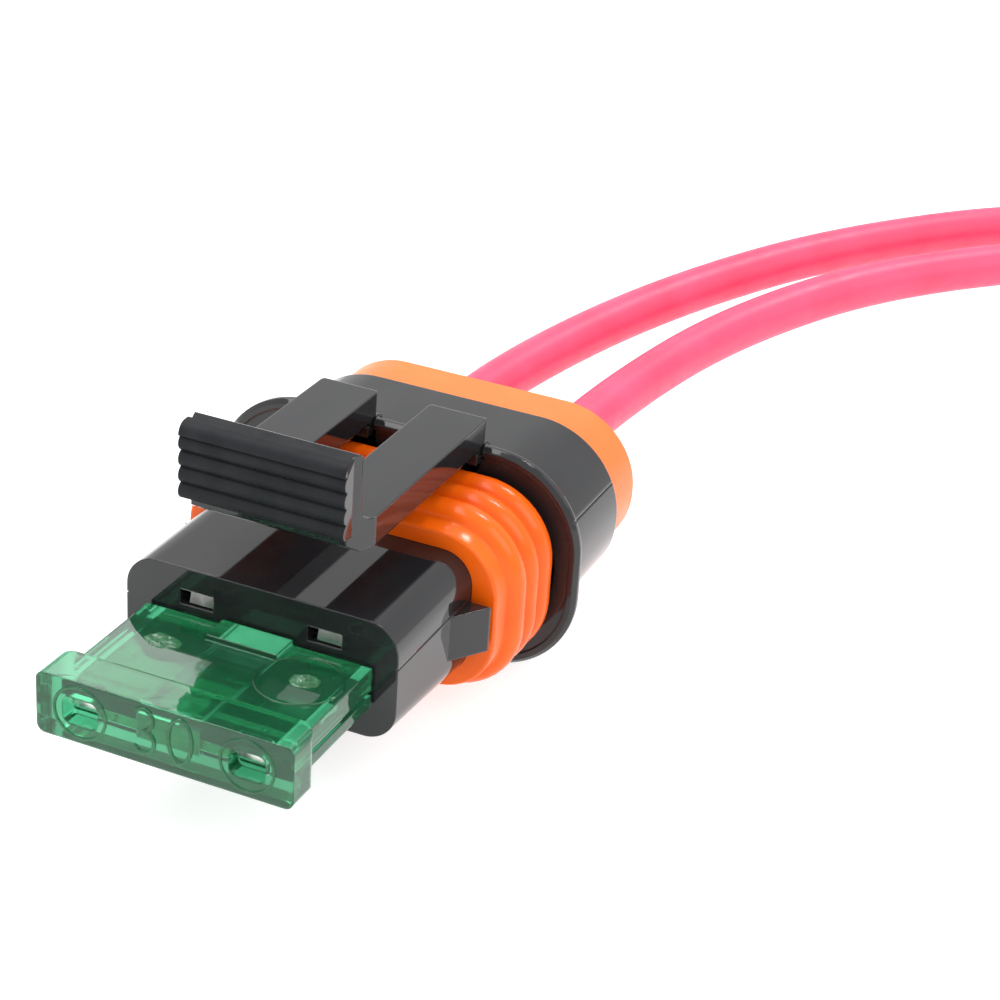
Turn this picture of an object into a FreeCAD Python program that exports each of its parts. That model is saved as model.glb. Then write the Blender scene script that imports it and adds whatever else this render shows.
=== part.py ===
"""In-line blade fuse holder: sealed housing, latch, seals, terminals, leads and a plug-in blade fuse.

Millimetres. X runs across the holder, +Y towards the leads, +Z up to the latch.
The origin is the middle of the flat face under the shroud, on which the holder rests.
"""
import FreeCAD, Part
import math
import os

import Sketcher

Vector = FreeCAD.Vector

SIZES = {
    # shroud: the open-fronted sleeve round the back of the housing
    "shroud_width": 30.1,
    "shroud_height": 17.7,
    "shroud_depth": 8.1,
    "shroud_corner": 7.2,
    "shroud_wall": 0.75,
    "shroud_floor": 2.0,
    "rim_chamfer": 0.3,
    # nose: the moulded block that takes the fuse and carries the ring seal
    "nose_width": 21.0,
    "nose_reach": 20.35,
    "nose_top": 4.9,
    "nose_drop": 4.1,
    "core_drop": 4.9,
    "nose_corner": 2.4,
    "front_wall": 1.2,
    # ways for the terminals
    "blade_pitch": 9.9,
    "way_width": 6.7,
    "way_height": 4.9,
    "slot_width": 5.5,
    "slot_height": 0.95,
    "window_width": 2.6,
    "window_rise": 3.2,
    "window_depth": 3.0,
    "plug_width": 18.4,
    "plug_height": 7.2,
    "plug_depth": 3.8,
    "plug_corner": 2.0,
    # side lugs and mould lines
    "lug_start": 8.1,
    "lug_length": 2.8,
    "lug_reach": 1.85,
    "lug_height": 3.5,
    "mould_line": 0.12,
    "nose_line_rise": 1.75,
    "shroud_line_rise": 4.6,
    # latch
    "latch_width": 13.52,
    "latch_gap": 4.2,
    "arm_rise": 1.95,
    "arm_thick": 2.15,
    "foot_radius": 0.8,
    "foot_set_back": 0.4,
    "foot_gap": 0.02,
    "pad_wall": 0.45,
    "tab_reach": 20.35,
    "tab_width": 12.48,
    "tab_depth": 2.0,
    "tab_rise": 5.1,
    "bar_set_back": 0.8,
    "bar_depth": 3.4,
    "bar_nose_width": 11.8,
    "arm_round": 0.35,
    "arm_corner": 0.7,
    "bar_chamfer": 0.8,
    "tab_nook": 1.1,
    "tab_round": 0.3,
    "crown_radius": 0.88,
    "ridge_depth": 0.38,
    "ridge_pitch": 1.19,
    "ridge_count": 4,
    # ring seal
    "seal_start": 11.6,
    "seal_side": 2.95,
    "seal_rise": 2.35,
    "seal_corner": 5.65,
    "lip_inset": 1.0,
    "lip_length": 1.65,
    "rib_pitch": 2.3,
    "rib_depth": 0.6,
    "rib_count": 3,
    "spine_inset": 1.45,
    "core_overlap": 1.3,
    "lip_chamfer": 0.3,
    "seal_gap": 0.02,
    # wire seal
    "flange_inset": 0.35,
    "flange_depth": 4.35,
    "flange_chamfer": 0.7,
    # fuse
    "head_width": 19.1,
    "head_thick": 4.6,
    "head_depth": 3.3,
    "head_corner": 1.2,
    "head_edge": 0.6,
    "fuse_depth": 12.35,
    "fuse_gap": 0.25,
    "fuse_width": 17.4,
    "fuse_thick": 3.0,
    "key_width": 5.4,
    "key_thick": 3.8,
    "key_depth": 2.3,
    "rail_depth": 0.3,
    "rail_height": 0.4,
    "chamber_height": 1.9,
    "blade_width": 5.2,
    "blade_thick": 0.65,
    "blade_reach": 6.3,
    "element_recess": 1.25,
    "blade_gap": 0.05,
    "link_width": 1.3,
    "link_thick": 0.3,
    "link_rise": 5.0,
    "tip_chamfer": 0.8,
    "test_hole_width": 2.7,
    "test_hole_height": 2.0,
    "test_hole_corner": 0.6,
    "test_hole_spread": 12.4,
    # terminals
    "terminal_width": 6.2,
    "terminal_height": 4.2,
    "terminal_wall": 0.4,
    "terminal_set_back": 0.3,
    "terminal_length": 8.0,
    "lance_width": 2.2,
    "lance_length": 1.2,
    "lance_rise": 0.65,
    "spring_thick": 0.4,
    "neck_length": 1.9,
    "neck_width": 2.0,
    "barrel_length": 3.6,
    "barrel_gap": 0.8,
    "barrel_wall": 0.4,
    # leads
    "lead_diameter": 4.0,
    "lead_gap": 0.02,
    "core_diameter": 2.4,
    "strip_length": 8.0,
    "tuck_length": 12.5,
}

doc = FreeCAD.newDocument("blade_fuse_holder")
sheet = doc.addObject("Spreadsheet::Sheet", "sizes")
for row, (alias, number) in enumerate(SIZES.items(), start=1):
    sheet.set(f"A{row}", alias)
    sheet.set(f"B{row}", str(number))
    sheet.setAlias(f"B{row}", alias)
doc.recompute()


class Length:
    """A length known both as a number and as the sheet expression that gives it."""

    def __init__(self, number, text):
        self.number = number
        self.text = text

    def combine(self, other, sign, number, swapped=False):
        text = other.text if isinstance(other, Length) else str(other)
        first, second = (text, self.text) if swapped else (self.text, text)
        return Length(number, f"({first} {sign} {second})")

    def __add__(self, other):
        return self.combine(other, "+", self.number + plain(other))

    def __radd__(self, other):
        return self.combine(other, "+", plain(other) + self.number, True)

    def __sub__(self, other):
        return self.combine(other, "-", self.number - plain(other))

    def __rsub__(self, other):
        return self.combine(other, "-", plain(other) - self.number, True)

    def __mul__(self, other):
        return self.combine(other, "*", self.number * plain(other))

    def __truediv__(self, other):
        return self.combine(other, "/", self.number / plain(other))

    def __neg__(self):
        return self * -1


def plain(value):
    """The bare number of a Length or of a number."""
    return value.number if isinstance(value, Length) else value


def size(alias):
    return Length(SIZES[alias], f"sizes.{alias}")


def bind(feature, **values):
    """Sets properties of a feature and ties each one to the sheet."""
    for name, value in values.items():
        setattr(feature, name, plain(value))
        if isinstance(value, Length):
            feature.setExpression(name, value.text)


AXIS_Z = size("shroud_height") / 2
RIM_Y = -(size("shroud_depth") / 2)
BACK_Y = size("shroud_depth") / 2
NOSE_Y = RIM_Y - size("nose_reach")
SEAL_Y = NOSE_Y + size("seal_start")
HINGE_Y = RIM_Y + size("foot_set_back")
HINGE_Z = size("shroud_height")
ARM_TOP_Z = HINGE_Z + size("arm_rise")
ARM_LOW_Z = ARM_TOP_Z - size("arm_thick")
FUSE_END_Y = NOSE_Y - size("fuse_gap")
HEAD_FRONT_Y = FUSE_END_Y - size("fuse_depth")
ELEMENT_Y = HEAD_FRONT_Y + size("element_recess")
WAY_X = size("blade_pitch") / 2


def new_body(label):
    body = doc.addObject("PartDesign::Body", label)
    body.Label = label
    return body


def plane_of(body, role):
    return [item for item in body.Origin.OriginFeatures if item.Role == role][0]


def new_sketch(body, name, role, offset):
    """A sketch on one of the body's own origin planes, moved along the plane's normal.

    The XZ plane faces -Y, so there the offset is counted towards -Y.
    """
    sketch = body.newObject("Sketcher::SketchObject", name)
    sketch.AttachmentSupport = [(plane_of(body, role), "")]
    sketch.MapMode = "FlatFace"
    if offset is not None:
        sketch.AttachmentOffset = FreeCAD.Placement(Vector(0, 0, plain(offset)), FreeCAD.Rotation())
        if isinstance(offset, Length):
            sketch.setExpression(".AttachmentOffset.Base.z", offset.text)
    return sketch


def pin_point(sketch, geometry, end, point):
    """Holds one end of a sketch line or arc at a place given by two lengths."""
    for kind, value in zip(("DistanceX", "DistanceY"), point):
        index = sketch.addConstraint(Sketcher.Constraint(kind, -1, 1, geometry, end, plain(value)))
        if isinstance(value, Length):
            sketch.setExpression(f"Constraints[{index}]", value.text)


def arc_between(start, end, radius):
    """An arc from start to end; a positive radius bulges to the right of the way along it."""
    middle = (start + end) / 2
    chord = end - start
    reach = math.sqrt(max(radius * radius - (chord.Length / 2) ** 2, 0))
    left = Vector(-chord.y, chord.x, 0) / chord.Length
    side = 1 if radius > 0 else -1
    centre = middle + left * reach * side
    turn = [math.atan2(p.y - centre.y, p.x - centre.x) for p in (start, end)]
    circle = Part.Circle(centre, Vector(0, 0, 1), abs(radius))
    if side > 0:
        return Part.ArcOfCircle(circle, turn[0], turn[1]), False
    return Part.ArcOfCircle(circle, turn[1], turn[0]), True


def outline(body, name, role, corners, offset=None):
    """A closed outline of corners (x, y) or (x, y, radius of the arc to the next corner)."""
    sketch = new_sketch(body, name, role, offset)
    count = len(corners)
    points = [Vector(plain(c[0]), plain(c[1]), 0) for c in corners]
    ends = []
    for index, corner in enumerate(corners):
        start, end = points[index], points[(index + 1) % count]
        if len(corner) == 3:
            arc, swapped = arc_between(start, end, plain(corner[2]))
            geometry = sketch.addGeometry(arc, False)
            ends.append((geometry, 2 if swapped else 1, 1 if swapped else 2))
        else:
            geometry = sketch.addGeometry(Part.LineSegment(start, end), False)
            ends.append((geometry, 1, 2))
    for index, (geometry, _, end) in enumerate(ends):
        following = ends[(index + 1) % count]
        sketch.addConstraint(Sketcher.Constraint("Coincident", geometry, end, following[0], following[1]))
    for (geometry, start, _), corner in zip(ends, corners):
        pin_point(sketch, geometry, start, corner[:2])
        if len(corner) == 3:
            radius = corner[2] if plain(corner[2]) > 0 else -corner[2]
            index = sketch.addConstraint(Sketcher.Constraint("Radius", geometry, plain(radius)))
            if isinstance(radius, Length):
                sketch.setExpression(f"Constraints[{index}]", radius.text)
    return sketch


def rounded_outline(body, name, role, half_width, low, high, corner, offset=None, middle=0):
    """A rectangle with round corners, its long way along the sketch's first axis."""
    left, right = middle - half_width, middle + half_width
    return outline(body, name, role, [
        (left + corner, low), (right - corner, low, corner),
        (right, low + corner), (right, high - corner, corner),
        (right - corner, high), (left + corner, high, corner),
        (left, high - corner), (left, low + corner, corner),
    ], offset)


def box_outline(body, name, role, left, right, low, high, offset=None):
    return outline(body, name, role, [(left, low), (right, low), (right, high), (left, high)], offset)


def circles(body, name, role, across, along, radii, offset=None):
    """Concentric circles: one is a disc, two are a ring."""
    sketch = new_sketch(body, name, role, offset)
    centre = Vector(plain(across), plain(along), 0)
    for radius in radii:
        index = sketch.addGeometry(Part.Circle(centre, Vector(0, 0, 1), plain(radius)), False)
        pin_point(sketch, index, 3, (across, along))
        place = sketch.addConstraint(Sketcher.Constraint("Radius", index, plain(radius)))
        sketch.setExpression(f"Constraints[{place}]", radius.text)
    return sketch


def pad(body, sketch, length, reversed_way=False, midplane=False):
    feature = body.newObject("PartDesign::Pad", sketch.Name + "_pad")
    feature.Profile = sketch
    feature.Reversed = reversed_way
    feature.Midplane = midplane
    bind(feature, Length=length)
    return feature


def pocket(body, sketch, length, reversed_way=False, midplane=False):
    """A cut that has to take something away."""
    doc.recompute()
    before = body.Shape.Volume
    feature = body.newObject("PartDesign::Pocket", sketch.Name + "_cut")
    feature.Profile = sketch
    feature.Reversed = reversed_way
    feature.Midplane = midplane
    bind(feature, Length=length)
    doc.recompute()
    if body.Shape.Volume >= before - 1e-6:
        raise RuntimeError(f"{feature.Name} takes nothing away")
    return feature


def mirror(body, features, name):
    """Copies features to the other side of the holder's middle plane."""
    feature = body.newObject("PartDesign::Mirrored", name)
    feature.Originals = features
    feature.MirrorPlane = (plane_of(body, "YZ_Plane"), [""])
    body.Tip = feature
    return feature


def edges_where(shape, test):
    """Names of the edges whose whole length passes the test."""
    names = []
    for index, edge in enumerate(shape.Edges, start=1):
        first, last = edge.ParameterRange
        steps = [edge.valueAt(first + (last - first) * part) for part in (0.0, 0.5, 1.0)]
        if all(test(point) for point in steps):
            names.append(f"Edge{index}")
    return names


def chamfer_edges(body, name, length, test):
    doc.recompute()
    base = body.Tip
    feature = body.newObject("PartDesign::Chamfer", name)
    feature.Base = (base, edges_where(base.Shape, test))
    bind(feature, Size=length)
    return feature


def arc_radius(width, depth):
    """The radius of an arc that stands on a chord of the width and rises by the depth."""
    return (width * width / 4 + depth * depth) / (depth * 2)


def near(value, target, slack=0.01):
    return abs(value - plain(target)) < slack


def make_housing():
    """The black moulding: shroud, nose, terminal ways, seal seats, lugs and latch seats."""
    body = new_body("housing")
    half_width = size("shroud_width") / 2
    shroud = rounded_outline(body, "shroud", "XZ_Plane", half_width, size("shroud_height") * 0,
                             size("shroud_height"), size("shroud_corner"), -RIM_Y)
    pad(body, shroud, size("shroud_depth"), reversed_way=True)
    chamfer_edges(body, "rim_chamfers", size("rim_chamfer"), on_shroud_edge)
    wall = size("shroud_wall")
    mouth = rounded_outline(body, "mouth", "XZ_Plane", half_width - wall, wall,
                            size("shroud_height") - wall, size("shroud_corner") - wall, -RIM_Y)
    pocket(body, mouth, size("shroud_depth") - size("shroud_floor"))
    add_nose(body)
    cut_ways(body)
    add_lugs(body)
    add_latch_seats(body)
    cut_mould_lines(body)
    return body


def on_shroud_edge(point):
    """True on the outer edges of the shroud's rim and back face."""
    if not (near(point.y, RIM_Y) or near(point.y, BACK_Y)):
        return False
    half_width, corner = plain(size("shroud_width")) / 2, plain(size("shroud_corner"))
    height = plain(size("shroud_height"))
    across = max(abs(point.x) - (half_width - corner), 0)
    along = max(abs(point.z - height / 2) - (height / 2 - corner), 0)
    if across > 0 and along > 0:
        return near(math.hypot(across, along), corner)
    return near(abs(point.x), half_width) or near(point.z, 0) or near(point.z, height)


def add_nose(body):
    """The nose, whose underside slopes down to the core that the ring seal sits on."""
    half_width = size("nose_width") / 2
    top = AXIS_Z + size("nose_top")
    front = rounded_outline(body, "nose_front", "XZ_Plane", half_width, AXIS_Z - size("nose_drop"),
                            top, size("nose_corner"), -NOSE_Y)
    root = rounded_outline(body, "nose_root", "XZ_Plane", half_width, AXIS_Z - size("core_drop"),
                           top, size("nose_corner"), -SEAL_Y)
    core = rounded_outline(body, "core", "XZ_Plane", half_width, AXIS_Z - size("core_drop"),
                           top, size("nose_corner"), -SEAL_Y)
    floor_y = BACK_Y - size("shroud_floor") / 2
    pad(body, core, floor_y - SEAL_Y, reversed_way=True)
    doc.recompute()
    loft = body.newObject("PartDesign::AdditiveLoft", "nose")
    loft.Profile = front
    loft.Sections = [root]
    loft.Ruled = True
    doc.recompute()


def cut_ways(body):
    """The seal plug's bore, the two terminal ways behind it, their blade slots and windows."""
    bore = rounded_outline(body, "plug_bore", "XZ_Plane", size("plug_width") / 2,
                           AXIS_Z - size("plug_height") / 2, AXIS_Z + size("plug_height") / 2,
                           size("plug_corner"), -BACK_Y)
    pocket(body, bore, size("plug_depth"), reversed_way=True)
    way_end = NOSE_Y + size("front_wall")
    way_start = BACK_Y - size("plug_depth")
    half_way = size("way_width") / 2
    half_high = size("way_height") / 2
    way = box_outline(body, "way", "XZ_Plane", WAY_X - half_way, WAY_X + half_way,
                      AXIS_Z - half_high, AXIS_Z + half_high, -way_start)
    ways = pocket(body, way, way_start - way_end, reversed_way=True)
    half_slot = size("slot_width") / 2
    slot = box_outline(body, "slot", "XZ_Plane", WAY_X - half_slot, WAY_X + half_slot,
                       AXIS_Z - size("slot_height") / 2, AXIS_Z + size("slot_height") / 2, -NOSE_Y)
    slots = pocket(body, slot, size("front_wall") * 1.5)
    half_window = size("window_width") / 2
    window = box_outline(body, "window", "XZ_Plane", WAY_X - half_window, WAY_X + half_window,
                         AXIS_Z + half_high - 0.4, AXIS_Z + size("window_rise"), -NOSE_Y)
    windows = pocket(body, window, size("window_depth"))
    mirror(body, [ways, slots, windows], "other_way")
    doc.recompute()


def add_lugs(body):
    """Ramps on the nose's sides that keep the ring seal from sliding off."""
    start = NOSE_Y + size("lug_start")
    end = start + size("lug_length")
    side = size("nose_width") / 2
    ramp = outline(body, "lug", "XY_Plane", [
        (side - 0.5, start), (side, start), (side + size("lug_reach"), end), (side - 0.5, end),
    ], AXIS_Z)
    feature = pad(body, ramp, size("lug_height"), midplane=True)
    doc.recompute()
    mirror(body, [feature], "other_lug")
    doc.recompute()


def add_latch_seats(body):
    """Pads in the shroud's top wall, grooved for the feet of the latch's two arms."""
    inner, outer = size("latch_gap") / 2, size("latch_width") / 2
    groove = size("foot_radius") + size("foot_gap")
    low = HINGE_Z - groove - size("pad_wall")
    block = box_outline(body, "seat", "XY_Plane", inner, outer, HINGE_Y - groove - 0.2,
                        HINGE_Y + groove + 0.6, low)
    block_pad = pad(body, block, size("pad_wall") + size("foot_radius") * 0.55)
    doc.recompute()
    circle = circles(body, "foot_groove", "YZ_Plane", HINGE_Y, HINGE_Z, [groove], inner - 0.1)
    cut = pocket(body, circle, outer - inner + 0.2, reversed_way=True)
    mirror(body, [block_pad, cut], "other_seat")
    doc.recompute()


def cut_mould_lines(body):
    """Fine lines along the nose's and the shroud's sides, where the mould halves met."""
    depth = size("mould_line")
    side = size("nose_width") / 2
    line_z = AXIS_Z + size("nose_line_rise")
    nose_line = box_outline(body, "nose_line", "XZ_Plane", side - depth, side + depth,
                            line_z - depth / 2, line_z + depth / 2, -NOSE_Y)
    first = pocket(body, nose_line, size("lug_start"))
    corner = size("shroud_corner")
    rise = plain(size("shroud_line_rise")) - (plain(size("shroud_height")) / 2 - plain(corner))
    reach = math.sqrt(plain(corner) ** 2 - rise ** 2) + plain(size("shroud_width")) / 2 - plain(corner)
    line_z = AXIS_Z + size("shroud_line_rise")
    shroud_line = box_outline(body, "shroud_line", "XZ_Plane", reach - depth, reach + 0.5,
                              line_z - depth / 2, line_z + depth / 2, -RIM_Y)
    second = pocket(body, shroud_line, size("shroud_depth"))
    mirror(body, [first, second], "other_lines")
    doc.recompute()


def make_latch():
    """The latch: two arms on round feet, a cross-bar and an upright ridged thumb tab."""
    body = new_body("latch")
    front = RIM_Y - size("tab_reach")
    add_arms(body, front + size("bar_depth"))
    add_upright(body, front)
    add_ridges(body, front)
    return body


def add_arms(body, bar_back):
    """Flat arms whose rear ends are rounded and stand on the feet in the shroud's seats."""
    inner, outer = size("latch_gap") / 2, size("latch_width") / 2
    top, low = ARM_TOP_Z, ARM_LOW_Z
    foot, crown = size("foot_radius"), size("arm_round")
    rear, start = HINGE_Y + foot, bar_back - 0.4
    arm = outline(body, "arm", "YZ_Plane", [
        (rear, HINGE_Z), (rear, top - crown, crown), (rear - crown, top), (start, top), (start, low),
        (HINGE_Y - foot, low), (HINGE_Y - foot, HINGE_Z, foot), (HINGE_Y, HINGE_Z - foot, foot),
    ], inner)
    pieces = [pad(body, arm, outer - inner)]
    corner = size("arm_corner")
    for name, side, inward in (("outer_end", outer, -corner), ("inner_end", inner, corner)):
        cut = outline(body, name, "XY_Plane", [
            (side, rear - corner, -inward), (side + inward, rear), (side, rear),
        ], HINGE_Z)
        pieces.append(pocket(body, cut, top - HINGE_Z, reversed_way=True))
    mirror(body, pieces, "other_arm")
    doc.recompute()


def add_upright(body, front):
    """The cross-bar and the upright plate on it: one angled piece with slanted sides."""
    start, end = front + size("bar_set_back"), front + size("bar_depth")
    back, top, lip = front + size("tab_depth"), ARM_TOP_Z + size("tab_rise"), size("tab_round")
    nook, cut = size("tab_nook"), size("bar_chamfer")
    profile = outline(body, "upright", "YZ_Plane", [
        (start + cut * 1.5, ARM_LOW_Z), (end, ARM_LOW_Z), (end, ARM_TOP_Z), (back + nook, ARM_TOP_Z, -nook),
        (back, ARM_TOP_Z + nook), (back, top - lip, lip), (back - lip, top), (start, top),
        (start, ARM_LOW_Z + cut),
    ])
    pad(body, profile, size("latch_width"), midplane=True)
    nose, root = size("bar_nose_width") / 2, size("latch_width") / 2
    spare_x, spare_y = (root - nose) * 0.1, (end - start) * 0.1
    side = outline(body, "slanted_side", "XY_Plane", [
        (nose - spare_x, start - spare_y), (root, end), (root + 1, end), (root + 1, start - spare_y),
    ], ARM_LOW_Z - 0.5)
    mirror(body, [pocket(body, side, top - ARM_LOW_Z + 1, reversed_way=True)], "other_side")
    doc.recompute()


def add_ridges(body, front):
    """The thumb plate in front: touching ridges down its face and a round crown along its top."""
    back, top, crown = front + size("bar_set_back") + 0.1, ARM_TOP_Z + size("tab_rise"), size("crown_radius")
    depth, pitch = size("ridge_depth"), size("ridge_pitch")
    crown_low, radius = top - crown, arc_radius(pitch, depth)
    low = crown_low - pitch * size("ridge_count")
    corners = [(back, low), (back, top), (front - depth + crown, top, crown), (front - depth, crown_low)]
    for number in range(int(SIZES["ridge_count"])):
        corners.append((front, crown_low - pitch * number, radius))
    plate = outline(body, "ridged_plate", "YZ_Plane", corners + [(front, low)])
    pad(body, plate, size("tab_width"), midplane=True)
    doc.recompute()


def rib_profile(pitch, depth, facets=5):
    """Points (along, rise) on the arc of a rib, from its first valley up to the last facet."""
    radius = arc_radius(plain(pitch), plain(depth))
    half_turn = math.asin(plain(pitch) / 2 / radius)
    points = []
    for step in range(facets):
        turn = -half_turn + 2 * half_turn * step / facets
        along = (math.sin(turn) * radius + plain(pitch) / 2) / plain(pitch)
        rise = (math.cos(turn) - math.cos(half_turn)) * radius / plain(depth)
        points.append((pitch * round(along, 4), depth * round(rise, 4)))
    return points


def make_ring_seal():
    """The ribbed silicone ring that the cap slides over, moulded to the core's outline."""
    body = new_body("ring_seal")
    inset = size("spine_inset")
    corner = size("seal_corner") - inset
    rise = size("seal_rise") - inset
    low, high = AXIS_Z - size("core_drop") - rise, AXIS_Z + size("nose_top") + rise
    right = size("nose_width") / 2 + size("seal_side") - inset
    left = -right
    spine = outline(body, "spine", "XZ_Plane", [
        (AXIS_Z * 0, low), (right - corner, low, corner), (right, low + corner),
        (right, high - corner, corner), (right - corner, high), (left + corner, high, corner),
        (left, high - corner), (left, low + corner, corner), (left + corner, low),
    ], -SEAL_Y)
    crest = low - inset
    valley, lip = crest + size("rib_depth"), crest + size("lip_inset")
    ribs_y = SEAL_Y + size("lip_length")
    pitch = size("rib_pitch")
    rib_steps = rib_profile(pitch, size("rib_depth"))
    chamfer = size("lip_chamfer")
    corners = [(SEAL_Y, lip + chamfer), (SEAL_Y + chamfer, lip), (ribs_y, lip)]
    for number in range(int(SIZES["rib_count"])):
        corners += [(ribs_y + pitch * number + along, valley - rise) for along, rise in rib_steps]
    end_y = ribs_y + pitch * int(SIZES["rib_count"])
    inside = AXIS_Z - size("core_drop") + size("core_overlap")
    corners += [(end_y, valley), (end_y, inside), (SEAL_Y, inside)]
    section = outline(body, "section", "YZ_Plane", corners)
    pipe = body.newObject("PartDesign::AdditivePipe", "ring")
    pipe.Profile = section
    pipe.Spine = spine
    doc.recompute()
    gap = size("seal_gap")
    seat = rounded_outline(body, "seat", "XZ_Plane", size("nose_width") / 2 + gap,
                           AXIS_Z - size("core_drop") - gap, AXIS_Z + size("nose_top") + gap,
                           size("nose_corner") + gap, -SEAL_Y)
    pocket(body, seat, end_y - SEAL_Y)
    return body


def make_wire_seal():
    """The silicone mat behind the shroud, with a plug and two bores for the leads."""
    body = new_body("wire_seal")
    inset, gap = size("flange_inset"), size("seal_gap")
    flange = rounded_outline(body, "flange", "XZ_Plane", size("shroud_width") / 2 - inset, inset,
                             size("shroud_height") - inset, size("shroud_corner") - inset, -BACK_Y)
    pad(body, flange, size("flange_depth"), reversed_way=True)
    doc.recompute()
    back = BACK_Y + size("flange_depth")
    chamfer_edges(body, "flange_edge", size("flange_chamfer"), lambda point: near(point.y, back))
    plug = rounded_outline(body, "plug", "XZ_Plane", size("plug_width") / 2 - gap,
                           AXIS_Z - size("plug_height") / 2 + gap, AXIS_Z + size("plug_height") / 2 - gap,
                           size("plug_corner") - gap, -BACK_Y)
    pad(body, plug, size("plug_depth") - gap)
    radius = size("lead_diameter") / 2 + size("lead_gap")
    for side, name in ((-1, "left_bore"), (1, "right_bore")):
        bore = circles(body, name, "XZ_Plane", WAY_X * side, AXIS_Z, [radius], -back)
        pocket(body, bore, size("flange_depth") + size("plug_depth") + 1, reversed_way=True)
    return body


def make_fuse_body():
    """The fuse's clear plastic: a wide head, a flat body with a centre key, and slots inside."""
    body = new_body("fuse_body")
    head_back = HEAD_FRONT_Y + size("head_depth")
    half_head, corner = size("head_width") / 2, size("head_corner")
    head = rounded_outline(body, "head", "XZ_Plane", half_head, AXIS_Z - size("head_thick") / 2,
                           AXIS_Z + size("head_thick") / 2, size("head_edge"), -HEAD_FRONT_Y)
    pad(body, head, size("head_depth"), reversed_way=True)
    rear_corner = outline(body, "rear_corner", "XY_Plane", [
        (half_head, head_back - corner, corner), (half_head - corner, head_back),
        (half_head - corner, head_back + 1), (half_head + 1, head_back + 1),
        (half_head + 1, head_back - corner),
    ], AXIS_Z)
    mirror(body, [pocket(body, rear_corner, size("head_thick") + 1, midplane=True)], "other_corner")
    doc.recompute()
    half = size("fuse_width") / 2
    plate = box_outline(body, "plate", "XY_Plane", -half, half, head_back - 0.5, FUSE_END_Y, AXIS_Z)
    pad(body, plate, size("fuse_thick"), midplane=True)
    half_key = size("key_width") / 2
    key = box_outline(body, "key", "XY_Plane", -half_key, half_key, FUSE_END_Y - size("key_depth"),
                      FUSE_END_Y, AXIS_Z)
    pad(body, key, size("key_thick"), midplane=True)
    doc.recompute()
    side_groove = box_outline(body, "side_groove", "XZ_Plane", half - size("rail_depth"), half + 1,
                              AXIS_Z - size("rail_height") * 1.5, AXIS_Z - size("rail_height") / 2,
                              -head_back)
    groove = pocket(body, side_groove, FUSE_END_Y - head_back)
    mirror(body, [groove], "other_groove")
    cut_fuse(body)
    return body


def cut_fuse(body):
    """Slots for the blades, the chamber round the link, and the test holes in the head."""
    gap = size("blade_gap")
    half_blade = size("blade_width") / 2 + gap
    half_slot = size("blade_thick") / 2 + gap
    slot = box_outline(body, "blade_slot", "XZ_Plane", WAY_X - half_blade, WAY_X + half_blade,
                       AXIS_Z - half_slot, AXIS_Z + half_slot, -FUSE_END_Y)
    slots = pocket(body, slot, FUSE_END_Y - ELEMENT_Y + gap, reversed_way=True)
    half_hole = size("test_hole_width") / 2
    hole_x = size("test_hole_spread") / 2
    hole = rounded_outline(body, "test_hole", "XZ_Plane", half_hole,
                           AXIS_Z - size("test_hole_height") / 2, AXIS_Z + size("test_hole_height") / 2,
                           size("test_hole_corner"), -HEAD_FRONT_Y, hole_x)
    holes = pocket(body, hole, size("element_recess"))
    mirror(body, [slots, holes], "other_slot")
    doc.recompute()
    side = WAY_X - size("blade_width") / 2
    chamber = box_outline(body, "chamber", "XY_Plane", -side, side, ELEMENT_Y - gap,
                          link_centre() + side + gap * 4, AXIS_Z)
    pocket(body, chamber, size("chamber_height"), midplane=True)


def link_centre():
    return ELEMENT_Y + size("link_rise")


def make_fuse_element():
    """One stamped piece: two blades joined by a thin arched link."""
    body = new_body("fuse_element")
    inner, outer = WAY_X - size("blade_width") / 2, WAY_X + size("blade_width") / 2
    start, tip = ELEMENT_Y, FUSE_END_Y + size("blade_reach")
    chamfer, arm = size("tip_chamfer"), inner - size("link_width")
    centre, foot = link_centre() - inner, link_centre() - inner - size("link_width")
    element = outline(body, "element", "XY_Plane", [
        (-outer, start), (-inner, start), (-inner, foot), (-arm, foot), (-arm, centre, -arm),
        (arm * 0, centre + arm, -arm), (arm, centre), (arm, foot), (inner, foot), (inner, start),
        (outer, start), (outer, tip - chamfer), (outer - chamfer, tip), (inner + chamfer, tip),
        (inner, tip - chamfer), (inner, centre, inner), (arm * 0, centre + inner, inner),
        (-inner, centre), (-inner, tip - chamfer), (-inner - chamfer, tip), (-outer + chamfer, tip),
        (-outer, tip - chamfer),
    ], AXIS_Z)
    pad(body, element, size("blade_thick"), midplane=True)
    top = AXIS_Z + size("blade_thick") / 2
    thinning = box_outline(body, "thinning", "XY_Plane", -inner, inner, start, link_centre() + 1, top)
    pocket(body, thinning, size("blade_thick") - size("link_thick"))
    return body


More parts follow.
